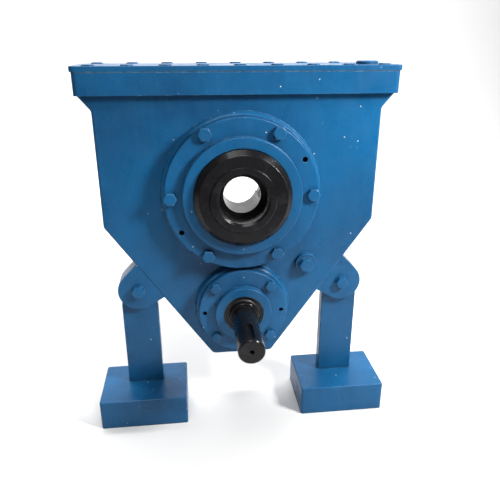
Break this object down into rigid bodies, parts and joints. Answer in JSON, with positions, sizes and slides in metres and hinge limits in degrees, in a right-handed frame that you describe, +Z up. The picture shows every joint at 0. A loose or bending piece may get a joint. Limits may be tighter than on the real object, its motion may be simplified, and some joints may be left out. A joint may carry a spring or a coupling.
{
  "type": "parallel shaft gearbox",
  "caption": "Parallel-shaft reduction gearbox in a hopper-shaped cast case, with a hollow keyed output shaft above a solid keyed input shaft, on two hinged legs with block feet.",
  "frame": {"origin": "on the ground, under the middle of the bounding box", "axes": "+Z up; -Y the front, where both shafts leave; X across, with the case symmetric about X = 0"},
  "size_m": [0.511, 0.256, 0.6125],
  "materials": {
    "case_paint": "blue enamel on rough cast iron",
    "leg_paint": "blue enamel on steel plate and block",
    "painted_fastener": "painted over with the case",
    "black_shaft": "glossy black oiled steel",
    "seal_rubber": "smooth black nitrile",
    "gasket": "compressed fibre sheet",
    "gear_steel": "ground and oiled",
    "bearing_steel": "polished bearing steel",
    "cage_steel": "machined brass",
    "zinc_screw": "zinc plated"
  },
  "bodies": {
    "case": {"breather_cap": "painted_fastener", "drain_plug": "painted_fastener", "housing": "case_paint", "input_bearing_front_outer_ring": "bearing_steel", "input_bearing_rear_outer_ring": "bearing_steel", "input_cover_front": "case_paint", "input_cover_rear": "case_paint", "input_cover_screws": "painted_fastener", "input_gasket_front": "gasket", "input_gasket_rear": "gasket", "input_seal": "seal_rubber", "left_leg_bolt": "painted_fastener", "left_leg_nut": "painted_fastener", "leg_washers": "painted_fastener", "lid": "case_paint", "lid_gasket": "gasket", "lid_screws": "painted_fastener", "oil_level_plug": "painted_fastener", "output_bearing_front_outer_ring": "bearing_steel", "output_bearing_rear_outer_ring": "bearing_steel", "output_cover_front": "case_paint", "output_cover_rear": "case_paint", "output_cover_screws": "painted_fastener", "output_gasket_front": "gasket", "output_gasket_rear": "gasket", "output_seal_front": "seal_rubber", "output_seal_rear": "seal_rubber", "right_leg_bolt": "painted_fastener", "right_leg_nut": "painted_fastener"},
    "output_shaft": {"hollow_shaft": "black_shaft", "output_gear": "gear_steel", "output_gear_key": "gear_steel", "output_spacer_ring": "gear_steel", "flinger_ring": "black_shaft", "output_bearing_front_inner_ring": "bearing_steel", "output_bearing_rear_inner_ring": "bearing_steel"},
    "pinion_shaft": {"input_shaft": "black_shaft", "input_bearing_front_inner_ring": "bearing_steel", "input_bearing_rear_inner_ring": "bearing_steel"},
    "output_cages": {"output_bearing_front_cage": "bearing_steel", "output_bearing_front_balls": "bearing_steel", "output_bearing_rear_cage": "bearing_steel", "output_bearing_rear_balls": "bearing_steel"},
    "input_cages": {"input_bearing_front_cage": "bearing_steel", "input_bearing_front_balls": "bearing_steel", "input_bearing_rear_cage": "bearing_steel", "input_bearing_rear_balls": "bearing_steel"},
    "left_stand": {"left_leg": "leg_paint", "left_foot": "leg_paint", "left_foot_screws": "zinc_screw"},
    "right_stand": {"right_leg": "leg_paint", "right_foot": "leg_paint", "right_foot_screws": "zinc_screw"}
  },
  "joints": [
    {"name": "output_spin", "type": "hinge", "parent": "case", "child": "output_shaft", "pos_m": [0, 0.04, 0.4115], "axis": [0, 1, 0], "continuous": true},
    {"name": "input_spin", "type": "hinge", "parent": "case", "child": "pinion_shaft", "pos_m": [0, 0.04, 0.2065], "axis": [0, 1, 0], "continuous": true},
    {"name": "output_cage_spin", "type": "hinge", "parent": "case", "child": "output_cages", "pos_m": [0, 0.04, 0.4115], "axis": [0, 1, 0], "continuous": true},
    {"name": "input_cage_spin", "type": "hinge", "parent": "case", "child": "input_cages", "pos_m": [0, 0.04, 0.2065], "axis": [0, 1, 0], "continuous": true},
    {"name": "left_leg_swing", "type": "hinge", "parent": "case", "child": "left_stand", "pos_m": [-0.178, 0.047, 0.243], "axis": [0, 1, 0], "range_deg": [-20, 60]},
    {"name": "right_leg_swing", "type": "hinge", "parent": "case", "child": "right_stand", "pos_m": [0.178, 0.047, 0.243], "axis": [0, -1, 0], "range_deg": [-20, 60]}
  ],
  "couplings": [
    {"joint": "input_spin", "follows": "output_spin", "ratio": -3.8235},
    {"joint": "output_cage_spin", "follows": "output_spin", "ratio": 0.45},
    {"joint": "input_cage_spin", "follows": "output_spin", "ratio": -1.5615}
  ]
}
